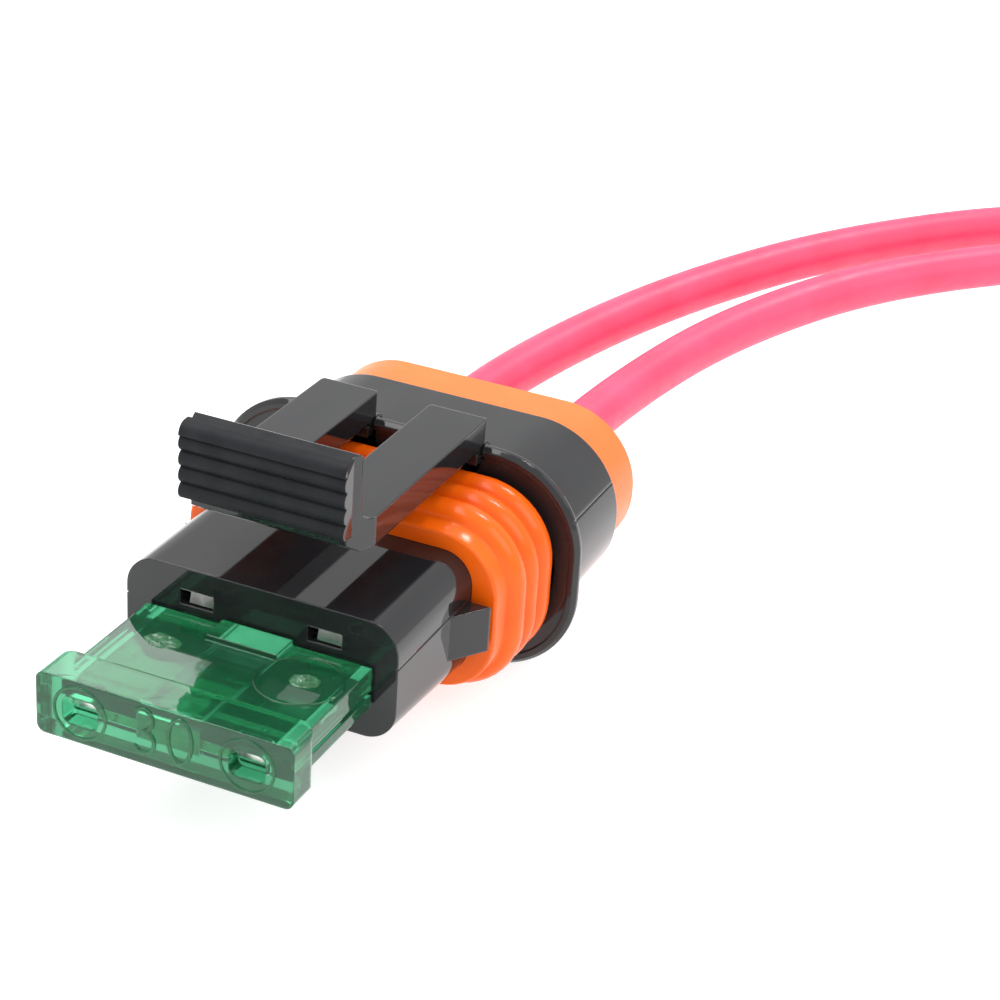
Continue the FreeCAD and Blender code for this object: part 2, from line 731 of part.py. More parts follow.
def make_terminal(side, label):
    """A female terminal: blade box with two spring leaves, neck, wire barrel, sleeve barrel."""
    body = new_body(label)
    x = WAY_X * side
    front = NOSE_Y + size("front_wall") + size("terminal_set_back")
    half_width, half_height = size("terminal_width") / 2, size("terminal_height") / 2
    wall = size("terminal_wall")
    shell = box_outline(body, label + "_shell", "XZ_Plane", x - half_width, x + half_width,
                        AXIS_Z - half_height, AXIS_Z + half_height, -front)
    pad(body, shell, size("terminal_length"), reversed_way=True)
    room = box_outline(body, label + "_room", "XZ_Plane", x - half_width + wall, x + half_width - wall,
                       AXIS_Z - half_height + wall, AXIS_Z + half_height - wall, -front)
    pocket(body, room, size("terminal_length"))
    box_end = front + size("terminal_length")
    contact = size("blade_thick") / 2 + size("blade_gap")
    ceiling = half_height - wall
    thick = size("spring_thick")
    middle = front + size("terminal_length") / 2
    for sign, name in ((1, "upper"), (-1, "lower")):
        leaf = [
            (front + 0.1, AXIS_Z + (ceiling + wall / 2) * sign),
            (front + 0.1, AXIS_Z + (ceiling - thick / 2) * sign),
            (middle, AXIS_Z + contact * sign),
            (box_end - 0.1, AXIS_Z + (ceiling - thick / 2) * sign),
            (box_end - 0.1, AXIS_Z + (ceiling + wall / 2) * sign),
            (middle, AXIS_Z + (contact + thick) * sign),
        ]
        sketch = outline(body, f"{label}_{name}_leaf", "YZ_Plane", leaf, x)
        pad(body, sketch, size("blade_width") - 0.4, midplane=True)
    add_lance(body, label, x, front, AXIS_Z + half_height)
    add_barrels(body, label, x, box_end)
    return body


def add_lance(body, label, x, front, top):
    """The tongue on the blade box's top that shows in the housing's window."""
    start, end, rise = front + 0.15, front + 0.15 + size("lance_length"), size("lance_rise")
    lance = outline(body, label + "_lance", "YZ_Plane", [
        (start, top - 0.1), (end, top - 0.1), (end, top), (start + rise, top + rise),
        (start + rise / 3, top + rise),
    ], x)
    pad(body, lance, size("lance_width"), midplane=True)


def add_barrels(body, label, x, box_end):
    """The crimped tail of a terminal."""
    wall, core = size("barrel_wall"), size("core_diameter") / 2 + size("lead_gap")
    sleeve = size("lead_diameter") / 2 + size("lead_gap")
    wire_start = box_end + size("neck_length")
    wire_end = wire_start + size("barrel_length")
    sleeve_start = wire_end + size("barrel_gap")
    low = AXIS_Z - size("terminal_height") / 2
    neck = outline(body, label + "_neck", "YZ_Plane", [
        (box_end - 0.3, low), (box_end, low), (wire_start + 0.3, AXIS_Z - core - wall),
        (wire_start + 0.3, AXIS_Z - core - wall / 4), (wire_start, AXIS_Z - core - wall / 4),
        (box_end - 0.3, low + wall),
    ], x)
    pad(body, neck, size("neck_width"), midplane=True)
    wire_barrel = circles(body, label + "_wire_barrel", "XZ_Plane", x, AXIS_Z, [core + wall, core],
                          -wire_start)
    pad(body, wire_barrel, size("barrel_length"), reversed_way=True)
    strap = outline(body, label + "_strap", "YZ_Plane", [
        (wire_end - 0.3, AXIS_Z - core - wall), (wire_end, AXIS_Z - core - wall),
        (sleeve_start, AXIS_Z - sleeve - wall), (sleeve_start + 0.3, AXIS_Z - sleeve - wall),
        (sleeve_start + 0.3, AXIS_Z - sleeve - wall / 4), (wire_end - 0.3, AXIS_Z - core - wall / 4),
    ], x)
    pad(body, strap, size("neck_width"), midplane=True)
    sleeve_barrel = circles(body, label + "_sleeve", "XZ_Plane", x, AXIS_Z, [sleeve + wall, sleeve],
                            -sleeve_start)
    pad(body, sleeve_barrel, size("barrel_length"), reversed_way=True)
    doc.recompute()


LEFT_ROUTE = [
    (-4.55, 26.8, 9.05), (1.9, 47.6, 10.3), (13.7, 66.8, 12.0), (31.6, 88.8, 11.6), (50.0, 111.0, 2.0),
    (62.0, 127.0, 2.0),
]
RIGHT_ROUTE = [
    (5.35, 26.8, 9.05), (9.5, 46.0, 9.9), (19.8, 62.7, 11.6), (38.3, 81.8, 11.4), (56.0, 103.5, 2.0),
    (68.0, 119.5, 2.0),
]


def bend_radius(before, corner, after):
    """The largest arc that two runs of a route allow, as 0.45 of the shorter one."""
    one, two = corner - before, after - corner
    turn = one.getAngle(two)
    return 0.45 * min(one.Length, two.Length) / math.tan(turn / 2)


def tube_path(points):
    """Straight runs joined by tangent arcs."""
    edges = []
    place = points[0]
    for before, corner, after in zip(points, points[1:], points[2:]):
        one, two = corner - before, after - corner
        cut = 0.45 * min(one.Length, two.Length)
        enter = corner - one.normalize() * cut
        leave = corner + two.normalize() * cut
        radius = bend_radius(before, corner, after)
        to_centre = ((enter - corner) + (leave - corner)).normalize()
        reach = math.sqrt(cut * cut + radius * radius)
        middle = corner + to_centre * (reach - radius)
        edges.append(Part.LineSegment(place, enter).toShape())
        edges.append(Part.Arc(enter, middle, leave).toShape())
        place = leave
    edges.append(Part.LineSegment(place, points[-1]).toShape())
    return Part.Wire(edges)


def make_lead(side, label, route):
    """One insulated lead, from its terminal's sleeve barrel to its stripped end."""
    start = plain(BACK_Y - size("tuck_length"))
    axis_z = plain(AXIS_Z)
    x = plain(WAY_X) * side
    straight = plain(BACK_Y + size("flange_depth")) + 0.6
    points = [Vector(x, start, axis_z), Vector(x, straight, axis_z)] + [Vector(*p) for p in route]
    path = tube_path(points)
    radius = plain(size("lead_diameter")) / 2
    ring = Part.Wire([Part.makeCircle(radius, points[0], Vector(0, 1, 0))])
    tube = path.makePipeShell([ring], True, False)
    wanted = math.pi * radius * radius * path.Length
    radii = [round(bend_radius(*points[i:i + 3]), 1) for i in range(len(points) - 2)]
    print(label, "length", round(path.Length, 2), "bend radii", radii)
    print(label, "volume", round(tube.Volume, 2), "section times length", round(wanted, 2))
    if abs(tube.Volume - wanted) > 0.01 * wanted:
        raise RuntimeError(f"{label} has the wrong volume")
    feature = doc.addObject("Part::Feature", label)
    feature.Label = label
    feature.Shape = tube
    return feature


def make_conductor(side, label, route):
    """The bare copper of a lead: the crimped end in its terminal and the stripped far end."""
    crimp_length = size("barrel_length") + size("barrel_gap")
    front = doc.addObject("Part::Cylinder", label + "_crimped")
    bind(front, Radius=size("core_diameter") / 2, Height=crimp_length)
    start = BACK_Y - size("tuck_length")
    front.Placement = FreeCAD.Placement(Vector(plain(WAY_X) * side, plain(start), plain(AXIS_Z)),
                                        FreeCAD.Rotation(Vector(1, 0, 0), 90))
    front.setExpression("Placement.Base.x", (WAY_X * side).text)
    front.setExpression("Placement.Base.y", start.text)
    front.setExpression("Placement.Base.z", AXIS_Z.text)
    far = doc.addObject("Part::Cylinder", label + "_stripped")
    bind(far, Radius=size("core_diameter") / 2, Height=size("strip_length"))
    before, end = (Vector(*point) for point in route[-2:])
    far.Placement = FreeCAD.Placement(end, FreeCAD.Rotation(Vector(0, 0, 1), end - before))
    both = doc.addObject("Part::MultiFuse", label)
    both.Label = label
    both.Shapes = [front, far]
    return both


def finish(parts):
    """Checks every object and writes each sub-part's file."""
    doc.recompute()
    for item in doc.Objects:
        if "Invalid" in item.State or "Error" in item.State:
            raise RuntimeError(f"{item.Name} failed: {item.State}")
    os.makedirs("parts", exist_ok=True)
    for part in parts:
        if part.Shape.isNull() or not part.Shape.isValid():
            raise RuntimeError(f"{part.Label} has no valid shape")
        part.Shape.exportStep(f"parts/{part.Label}.step")
        print(part.Label, len(part.Shape.Solids), round(part.Shape.Volume, 3))


finish([
    make_housing(),
    make_latch(),
    make_ring_seal(),
    make_wire_seal(),
    make_fuse_body(),
    make_fuse_element(),
    make_terminal(-1, "terminal_left"),
    make_terminal(1, "terminal_right"),
    make_lead(-1, "lead_left", LEFT_ROUTE),
    make_lead(1, "lead_right", RIGHT_ROUTE),
    make_conductor(-1, "conductor_left", LEFT_ROUTE),
    make_conductor(1, "conductor_right", RIGHT_ROUTE),
])
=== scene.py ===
"""In-line blade fuse holder: looks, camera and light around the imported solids."""

import math

import bmesh
import bpy
from mathutils import Matrix, Vector, noise


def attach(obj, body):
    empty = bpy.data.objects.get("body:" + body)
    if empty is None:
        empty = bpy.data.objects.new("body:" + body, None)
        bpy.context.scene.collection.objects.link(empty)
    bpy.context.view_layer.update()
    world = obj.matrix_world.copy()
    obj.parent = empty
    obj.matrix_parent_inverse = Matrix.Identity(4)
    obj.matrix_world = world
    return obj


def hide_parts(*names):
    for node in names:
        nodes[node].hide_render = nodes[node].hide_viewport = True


MM = 0.001

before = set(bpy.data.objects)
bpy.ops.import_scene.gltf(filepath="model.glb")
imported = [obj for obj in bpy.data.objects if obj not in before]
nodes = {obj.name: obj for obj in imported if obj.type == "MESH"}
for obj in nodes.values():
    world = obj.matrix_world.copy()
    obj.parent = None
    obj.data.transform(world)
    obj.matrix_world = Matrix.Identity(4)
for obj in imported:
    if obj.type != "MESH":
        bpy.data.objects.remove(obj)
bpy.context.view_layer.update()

# Places and sizes that the solids share, in millimetres. Y runs from the fuse back to the leads.
AXIS_Z = 8.85
WAY_X = 4.95
LEAD_RADIUS = 2.0
FUSE_END_Y = -24.65
FUSE_BODY_LENGTH = 12.35
FUSE_HALF_THICKNESS = 1.5
HEAD_FRONT_Y = FUSE_END_Y - FUSE_BODY_LENGTH
FUSE_TOP_Z = AXIS_Z + FUSE_HALF_THICKNESS

# The leads' routes, from the crimps to where the insulation ends.
LEAD_START = -8.45
LEAD_STRAIGHT = 9.0
LEFT_ROUTE = [
    (-WAY_X, LEAD_START, AXIS_Z), (-WAY_X, LEAD_STRAIGHT, AXIS_Z),
    (-4.55, 26.8, 9.05), (1.9, 47.6, 10.3), (13.7, 66.8, 12.0), (31.6, 88.8, 11.6), (50.0, 111.0, 2.0),
    (62.0, 127.0, 2.0),
]
RIGHT_ROUTE = [
    (WAY_X, LEAD_START, AXIS_Z), (WAY_X, LEAD_STRAIGHT, AXIS_Z),
    (5.35, 26.8, 9.05), (9.5, 46.0, 9.9), (19.8, 62.7, 11.6), (38.3, 81.8, 11.4), (56.0, 103.5, 2.0),
    (68.0, 119.5, 2.0),
]


def millimetres(*values):
    """A place given in millimetres, as a vector in metres."""
    return Vector([value * MM for value in values])


def add_object(name, data):
    """A new object in the scene."""
    obj = bpy.data.objects.new(name, data)
    bpy.context.scene.collection.objects.link(obj)
    return obj


def add_mesh(name, mesh):
    """An object made from a bmesh, which is freed."""
    data = bpy.data.meshes.new(name)
    mesh.to_mesh(data)
    mesh.free()
    return add_object(name, data)


# Materials, with lengths in metres

NOISE_LOW, NOISE_HIGH = 0.3, 0.7
LENGTHWISE = (1.0, 0.3, 1.0)
EDGE_SAMPLES = 6
SMOOTH_ANGLE = 32.0


class Nodes:
    """A material's node tree with short calls for the nodes used here."""

    def __init__(self, name):
        self.material = bpy.data.materials.new(name)
        self.material.use_nodes = True
        self.tree = self.material.node_tree
        self.shader = self.tree.nodes["Principled BSDF"]
        self.place = self.node("ShaderNodeTexCoord").outputs["Object"]

    def node(self, kind, **settings):
        made = self.tree.nodes.new(kind)
        for key, value in settings.items():
            setattr(made, key, value)
        return made

    def link(self, source, target):
        self.tree.links.new(source, target)

    def set(self, **sockets):
        for key, value in sockets.items():
            self.shader.inputs[key.replace("_", " ")].default_value = value
        return self

    def noise(self, scale, detail=2.0, stretch=None):
        """A noise factor in the object's own place, stretched along its axes where asked."""
        made = self.node("ShaderNodeTexNoise")
        made.inputs["Scale"].default_value = scale
        made.inputs["Detail"].default_value = detail
        place = self.place
        if stretch is not None:
            mapping = self.node("ShaderNodeMapping")
            mapping.inputs["Scale"].default_value = stretch
            self.link(place, mapping.inputs["Vector"])
            place = mapping.outputs["Vector"]
        self.link(place, made.inputs["Vector"])
        return made.outputs["Fac"]

    def mottle(self, source, dark, light):
        """The base colour, spread between two colours by a factor."""
        made = self.node("ShaderNodeValToRGB")
        stops = zip(made.color_ramp.elements, (NOISE_LOW, NOISE_HIGH), (dark, light))
        for element, place, colour in stops:
            element.position = place
            element.color = (*colour, 1.0)
        self.link(source, made.inputs["Fac"])
        self.link(made.outputs["Color"], self.shader.inputs["Base Color"])

    def roughen(self, source, low, high):
        """The roughness, spread between two values by a factor."""
        made = self.node("ShaderNodeMapRange")
        made.inputs["From Min"].default_value = NOISE_LOW
        made.inputs["From Max"].default_value = NOISE_HIGH
        made.inputs["To Min"].default_value = low
        made.inputs["To Max"].default_value = high
        self.link(source, made.inputs["Value"])
        self.link(made.outputs["Result"], self.shader.inputs["Roughness"])

    def bump(self, source, distance, strength, edge_round=None):
        """A fine relief and, where a radius is given, edges that catch light as if they were rounded."""
        made = self.node("ShaderNodeBump")
        if edge_round is not None:
            bevel = self.node("ShaderNodeBevel", samples=EDGE_SAMPLES)
            bevel.inputs["Radius"].default_value = edge_round
            self.link(bevel.outputs["Normal"], made.inputs["Normal"])
        made.inputs["Distance"].default_value = distance
        made.inputs["Strength"].default_value = strength
        self.link(source, made.inputs["Height"])
        self.link(made.outputs["Normal"], self.shader.inputs["Normal"])


def black_plastic():
    """Glossy moulded black, with faint flow marks, a slightly uneven sheen and softened edges."""
    mat = Nodes("black_plastic").set(IOR=1.5)
    flow = mat.noise(260.0, stretch=(1.0, 0.35, 1.0))
    mat.mottle(flow, dark=(0.010, 0.0105, 0.012), light=(0.016, 0.0165, 0.018))
    mat.roughen(mat.noise(900.0), low=0.035, high=0.07)
    mat.bump(mat.noise(600.0), distance=0.000004, strength=0.3, edge_round=0.00018)
    return mat.material


def ridge_plastic():
    """The thumb plate's satin face."""
    mat = Nodes("ridge_plastic").set(IOR=1.2)
    mat.mottle(mat.noise(500.0), dark=(0.0145, 0.015, 0.0172), light=(0.020, 0.021, 0.0235))
    mat.roughen(mat.noise(1500.0, detail=3.0), low=0.46, high=0.56)
    mat.bump(mat.noise(1400.0), distance=0.000003, strength=0.3, edge_round=0.0001)
    return mat.material


def silicone(name, dark, light, roughness):
    """Soft silicone with a little light inside it."""
    mat = Nodes(name).set(IOR=1.36, Subsurface_Weight=0.05, Subsurface_Scale=0.0006,
                          Subsurface_Radius=(1.0, 0.35, 0.1))
    mat.mottle(mat.noise(160.0), dark, light)
    mat.roughen(mat.noise(700.0), low=roughness - 0.04, high=roughness + 0.05)
    mat.bump(mat.noise(400.0), distance=0.000003, strength=0.2)
    return mat.material


def clear_green():
    """Tinted clear plastic of the fuse."""
    mat = Nodes("clear_green").set(IOR=1.5, Transmission_Weight=0.9)
    mat.mottle(mat.noise(300.0), dark=(0.05, 0.38, 0.18), light=(0.085, 0.46, 0.24))
    mat.roughen(mat.noise(700.0), low=0.02, high=0.05)
    mat.bump(mat.noise(500.0), distance=0.00002, strength=0.4, edge_round=0.00022)
    return mat.material


def frosted_green():
    """Crumpled clear plastic where the fuse's body is staked to its blades."""
    mat = Nodes("frosted_green").set(IOR=1.5, Transmission_Weight=0.75)
    mat.mottle(mat.noise(1400.0), dark=(0.08, 0.34, 0.13), light=(0.24, 0.62, 0.36))
    mat.roughen(mat.noise(2000.0), low=0.08, high=0.3)
    mat.bump(mat.noise(1800.0, detail=3.0), distance=0.00006, strength=0.8)
    return mat.material


def plated_metal(name, dark, light):
    """Satin tin plating with fine rolling lines."""
    mat = Nodes(name).set(Metallic=1.0)
    mat.mottle(mat.noise(700.0, detail=3.0), dark, light)
    mat.roughen(mat.noise(900.0, detail=3.0, stretch=LENGTHWISE), low=0.16, high=0.3)
    mat.bump(mat.noise(1100.0, stretch=LENGTHWISE), distance=0.000004, strength=0.3)
    return mat.material


def copper():
    """Bare copper wire, satin."""
    mat = Nodes("copper").set(Metallic=1.0)
    mat.mottle(mat.noise(900.0, detail=3.0), dark=(0.72, 0.34, 0.20), light=(0.88, 0.50, 0.33))
    mat.roughen(mat.noise(2200.0), low=0.22, high=0.36)
    return mat.material


def insulation():
    """The leads' satin insulation, with a faintly uneven skin."""
    mat = Nodes("pink_red_insulation").set(IOR=1.5, Subsurface_Weight=0.1, Subsurface_Scale=0.0008,
                                           Subsurface_Radius=(1.0, 0.3, 0.3))
    mat.mottle(mat.noise(180.0, detail=3.0), dark=(0.88, 0.045, 0.118), light=(0.93, 0.066, 0.158))
    mat.roughen(mat.noise(900.0), low=0.36, high=0.48)
    mat.bump(mat.noise(1200.0, detail=3.0), distance=0.00002, strength=0.35)
    return mat.material


BLACK = black_plastic()
RIDGED = ridge_plastic()
ORANGE = silicone("orange_silicone", dark=(0.78, 0.094, 0.002), light=(0.87, 0.128, 0.005), roughness=0.2)
LIGHT_ORANGE = silicone("light_orange_silicone", dark=(0.74, 0.165, 0.030), light=(0.80, 0.192, 0.042),
                        roughness=0.34)
GREEN = clear_green()
FROSTED = frosted_green()
METAL = plated_metal("plated_metal", dark=(0.80, 0.80, 0.78), light=(0.92, 0.92, 0.90))
# A darkened copy of the plating, as painted shade: the terminal metal seen deep in the nose's windows.
SHADED_METAL = plated_metal("shaded_plated_metal", dark=(0.13, 0.13, 0.125), light=(0.30, 0.30, 0.29))
COPPER = copper()
PINK_RED = insulation()


def dress(obj, material, degrees=SMOOTH_ANGLE):
    """Gives a piece its material and smooth faces up to an angle."""
    obj.data.materials.clear()
    obj.data.materials.append(material)
    smooth_by_angle(obj.data, degrees)


def smooth_by_angle(mesh, degrees):
    """Smooth faces, with sharp edges where two faces meet at more than an angle."""
    limit = math.cos(math.radians(degrees))
    faces_of = {}
    for face in mesh.polygons:
        face.use_smooth = True
        for key in face.edge_keys:
            faces_of.setdefault(key, []).append(face.normal.copy())
    for edge in mesh.edges:
        normals = faces_of.get(tuple(sorted(edge.vertices)), [])
        edge.use_edge_sharp = len(normals) != 2 or normals[0].dot(normals[1]) < limit


for name, material in (
    ("latch", BLACK), ("fuse_body", GREEN), ("fuse_element", METAL), ("terminal_left", METAL),
    ("terminal_right", METAL), ("conductor_left", COPPER), ("conductor_right", COPPER),
):
    dress(nodes[name], material)


# The latch's satin faces

PLATE_BACK_Y, PLATE_END_X = -23.45, 6.2
TAB_BACK_Y, TAB_TOP_Z = -22.9, 24.75
ARM_TOP_Z = 19.65
TOP_MARGIN = 0.5


def on_thumb_plate(middle):
    """The ridged plate apart from its ends, and the tab's top behind it."""
    above_arms = middle.z > ARM_TOP_Z - TOP_MARGIN
    on_plate = middle.y < PLATE_BACK_Y and above_arms and abs(middle.x) < PLATE_END_X
    return on_plate or (middle.y < TAB_BACK_Y and middle.z > TAB_TOP_Z - TOP_MARGIN)


def two_tone(obj, material, chosen):
    """Gives the faces whose middle passes the test, in millimetres, a second material."""
    obj.data.materials.append(material)
    to_world = obj.matrix_world
    for face in obj.data.polygons:
        if chosen((to_world @ face.center) / MM):
            face.material_index = 1


two_tone(nodes["latch"], RIDGED, on_thumb_plate)


# The housing's and the rear seal's shells, slimmer and longer behind the collar than the solids

# Where points begin to move, on the outer skin and within it, and the room between kept and moved ones.
COLLAR_BACK, COLLAR_INSIDE = -3.4, -3.85
STEP = 0.05
# The pads under the latch's feet, on both sides.
PAD_INNER, PAD_OUTER, PAD_LOW, PAD_BACK = 1.95, 6.95, 16.3, -2.75
PAD_MARGIN = 0.01
# The shroud's back and the depth of the seal behind it, in the solids and in the photograph.
SOLID_BACK, SOLID_SEAL_DEPTH = 4.05, 4.35
BODY_BACK, SEAL_DEPTH = 7.25, 5.59
# The centres of the section's round corners, in the solids and in the photograph.
CORNER = Vector((7.85, 1.65))
SLIM_CORNER = Vector((7.0, 0.15))
# Distances outside those centres: where slimming begins, over how much it grows, and where the skin lies.
SLIM_FROM, SLIM_OVER = 3.7, 2.2
OUTER_SKIN = 6.8
HOUSING_SHRINK, SEAL_SHRINK = 0.35, 0.67
# These two are in metres.
WELD, LEVEL_MARGIN = 1e-7, 1e-6


def clamped(value, limit):
    return max(-limit, min(limit, value))


def across(x, z):
    """A point in the section across the holder, and the nearest one between the round corners' centres."""
    flat = Vector((x, z - AXIS_Z))
    return flat, Vector((clamped(flat.x, CORNER.x), clamped(flat.y, CORNER.y)))


def slimmed(x, y, z, shrink):
    """Where a point behind the collar lies on the body that the photograph shows; lengths in millimetres."""
    flat, core = across(x, z)
    out = flat - core
    share = max(0.0, min(1.0, (out.length - SLIM_FROM) / SLIM_OVER))
    if share > 0:
        slim = Vector((core.x * SLIM_CORNER.x / CORNER.x, core.y * SLIM_CORNER.y / CORNER.y))
        flat = flat.lerp(slim + out * (1 - shrink / out.length), share)
    if y > SOLID_BACK:
        y = BODY_BACK + (y - SOLID_BACK) * SEAL_DEPTH / SOLID_SEAL_DEPTH
    elif y > COLLAR_BACK:
        y = COLLAR_BACK + (y - COLLAR_BACK) * (BODY_BACK - COLLAR_BACK) / (SOLID_BACK - COLLAR_BACK)
    return flat.x, y, flat.y + AXIS_Z


def behind_collar(x, y, z):
    """True for points that move: the skin behind the collar, and what lies inside it from a little before.

    The pads under the latch's feet stay.
    """
    within_pad = PAD_INNER - PAD_MARGIN < abs(x) < PAD_OUTER + PAD_MARGIN
    if within_pad and z > PAD_LOW and y < PAD_BACK + STEP / 2:
        return False
    flat, core = across(x, z)
    start = COLLAR_BACK if (flat - core).length > OUTER_SKIN else COLLAR_INSIDE
    return y > start + STEP / 2


def split(mesh, place, normal, low=0.0):
    """Cuts a mesh's faces that reach above a height by a plane; lengths in millimetres."""
    level = low * MM - LEVEL_MARGIN
    faces = [face for face in mesh.faces if max(vert.co.z for vert in face.verts) > level]
    edges = {edge for face in faces for edge in face.edges}
    verts = {vert for face in faces for vert in face.verts}
    bmesh.ops.bisect_plane(mesh, geom=faces + list(edges) + list(verts), dist=WELD,
                           plane_co=millimetres(*place), plane_no=normal)


def split_at_collar(mesh):
    """Cuts on both sides of each step, so that only the narrow faces between them stretch."""
    for start in (COLLAR_INSIDE, COLLAR_BACK, PAD_BACK):
        split(mesh, (0, start, 0), (0, 1, 0))
        split(mesh, (0, start + STEP, 0), (0, 1, 0))
    for side in (-1, 1):
        for edge in (PAD_INNER, PAD_INNER - STEP, PAD_OUTER, PAD_OUTER + STEP):
            split(mesh, (side * edge, 0, 0), (1, 0, 0), PAD_LOW)


def shell(name, node, material, shrink, collar=False):
    """A copy of a node's mesh, reshaped behind the collar, that stands for the node."""
    mesh = bmesh.new()
    mesh.from_mesh(nodes[node].data)
    bmesh.ops.remove_doubles(mesh, verts=mesh.verts[:], dist=WELD)
    if collar:
        split_at_collar(mesh)
    for vert in mesh.verts:
        place = vert.co / MM
        if behind_collar(*place):
            vert.co = millimetres(*slimmed(*place, shrink))
    bmesh.ops.dissolve_degenerate(mesh, dist=WELD, edges=mesh.edges[:])
    obj = add_mesh(name, mesh)
    dress(obj, material)
    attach(obj, "holder")
    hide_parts(node)


shell("housing_shell", "housing", BLACK, HOUSING_SHRINK, collar=True)
shell("rear_seal", "wire_seal", LIGHT_ORANGE, SEAL_SHRINK)


# The ring seal, with smooth ribs

NOSE = {"half_width": 10.52, "low": 3.93, "high": 13.77, "corner": 2.42}
SEAL_CREST = {"half_width": 13.45, "low": 1.6, "high": 16.1, "corner": 5.65}
SEAL_Y = -12.8
# The lip in front of the ribs, round at its front edge, with a short slope up to the first rib.
LIP_LENGTH, LIP_INSET, LIP_ROUND, LIP_STEPS = 1.65, 1.0, 0.25, 4
LIP_SLOPE_LENGTH, LIP_SLOPE_RISE = 0.12, 0.1
# Each rib fills its share of the pitch. More flatness widens its crest, less fullness steepens its sides.
RIB_PITCH, RIB_DEPTH, RIBS, RIB_STEPS = 2.3, 0.75, 3, 12
RIB_SHARE, RIB_MARGIN = 0.98, 0.01
RIB_FLATNESS, RIB_FULLNESS = 2.2, 0.75
RING_SEAL_SMOOTH_ANGLE = 50.0


def rounded_ring(y, half_width, low, high, corner, steps=12):
    """Points round a rectangle with round corners, at one place along the holder."""
    points = []
    for quarter, (x_side, z_side) in enumerate(((1, 1), (-1, 1), (-1, -1), (1, -1))):
        centre_x = x_side * (half_width - corner)
        centre_z = high - corner if z_side > 0 else low + corner
        for step in range(steps + 1):
            turn = math.radians(90 * (quarter + step / steps))
            x, z = centre_x + corner * math.cos(turn), centre_z + corner * math.sin(turn)
            points.append(millimetres(x, y, z))
    return points


def seal_profile():
    """Places along the ring seal with how far each lies inside the ribs' crests."""
    places = []
    for step in range(LIP_STEPS + 1):
        turn = math.radians(90 * step / LIP_STEPS)
        y = SEAL_Y + LIP_ROUND * (1 - math.cos(turn))
        places.append((y, LIP_INSET + LIP_ROUND * (1 - math.sin(turn))))
    start = SEAL_Y + LIP_LENGTH
    places += [(start - LIP_SLOPE_LENGTH, LIP_INSET), (start, LIP_INSET - LIP_SLOPE_RISE)]
    for rib in range(RIBS):
        for step in range(RIB_STEPS + 1):
            part = 2 * step / RIB_STEPS - 1
            rise = (1 - abs(part) ** RIB_FLATNESS) ** RIB_FULLNESS
            along = rib + step / RIB_STEPS * RIB_SHARE + RIB_MARGIN
            places.append((start + RIB_PITCH * along, RIB_DEPTH * (1 - rise)))
    return places


def ribbed_seal():
    """The seal's outer profile swept round the nose and closed on its core."""
    rings = []
    for y, inset in seal_profile():
        rings.append(rounded_ring(y, SEAL_CREST["half_width"] - inset, SEAL_CREST["low"] + inset,
                                  SEAL_CREST["high"] - inset, SEAL_CREST["corner"] - inset))
    end = SEAL_Y + LIP_LENGTH + RIB_PITCH * RIBS
    rings += [rounded_ring(end, **NOSE), rounded_ring(SEAL_Y, **NOSE)]
    mesh = bmesh.new()
    rows = [[mesh.verts.new(point) for point in ring] for ring in rings]
    for first, second in zip(rows, rows[1:] + rows[:1]):
        for index in range(len(first)):
            after = (index + 1) % len(first)
            mesh.faces.new((first[index], first[after], second[after], second[index]))
    bmesh.ops.recalc_face_normals(mesh, faces=mesh.faces[:])
    obj = add_mesh("ribbed_seal", mesh)
    dress(obj, ORANGE, RING_SEAL_SMOOTH_ANGLE)
    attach(obj, "holder")
    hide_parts("ring_seal")


ribbed_seal()


# The terminals' metal tongues in the nose's windows, their plating darkened as painted shade of the deep
# windows

TONGUE_LEFT_OF_WAY, TONGUE_RIGHT_OF_WAY = 0.7, 1.24
TONGUE_FOOT_Y, TONGUE_TOP_Y, TONGUE_THICKNESS = -24.12, -23.9, 0.15
TONGUE_LOW_Z, TONGUE_HIGH_Z = 11.0, 11.78


def tongue(name, way):
    """A thin sloped plate just inside one window, its plating darkened as painted shade."""
    outline = [
        (TONGUE_FOOT_Y, TONGUE_LOW_Z), (TONGUE_TOP_Y, TONGUE_HIGH_Z),
        (TONGUE_TOP_Y + TONGUE_THICKNESS, TONGUE_HIGH_Z), (TONGUE_FOOT_Y + TONGUE_THICKNESS, TONGUE_LOW_Z),
    ]
    sides = (way - TONGUE_LEFT_OF_WAY, way + TONGUE_RIGHT_OF_WAY)
    places = [millimetres(x, y, z) for x in sides for y, z in outline]
    count = len(outline)
    left, right = tuple(range(count)), tuple(range(count, 2 * count))
    faces = [left, right[::-1]]
    faces += [(i, count + i, count + (i + 1) % count, (i + 1) % count) for i in range(count)]
    data = bpy.data.meshes.new(name)
    data.from_pydata(places, [], faces)
    # The tongue's plating is darkened as painted shade of the window.
    data.materials.append(SHADED_METAL)
    obj = add_object(name, data)
    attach(obj, "holder")


tongue("tongue_left", -WAY_X)
tongue("tongue_right", WAY_X)


# Strokes and leads, both curves with a round section

STROKE_FACETS, LEAD_FACETS = 3, 8
LEAD_ORDER, LEAD_RESOLUTION = 3, 12


def round_curve(name, radius, facets, material):
    """Curve data with a round section and closed ends; the radius in millimetres."""
    data = bpy.data.curves.new(name, "CURVE")
    data.dimensions = "3D"
    data.bevel_depth = radius * MM
    data.bevel_resolution = facets
    data.use_fill_caps = True
    data.materials.append(material)
    return data


def add_spline(data, kind, places):
    """A spline with places in millimetres as its points."""
    spline = data.splines.new(kind)
    spline.points.add(len(places) - 1)
    for point, place in zip(spline.points, places):
        point.co = (*millimetres(*place), 1.0)
    return spline


def stroke(name, lines, radius, material, body, closed=False):
    """Thin round strokes through points in millimetres, as one piece on a body."""
    data = round_curve(name, radius, STROKE_FACETS, material)
    for line in lines:
        add_spline(data, "POLY", line).use_cyclic_u = closed
    obj = add_object(name, data)
    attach(obj, body)


# Raised marks on the fuse

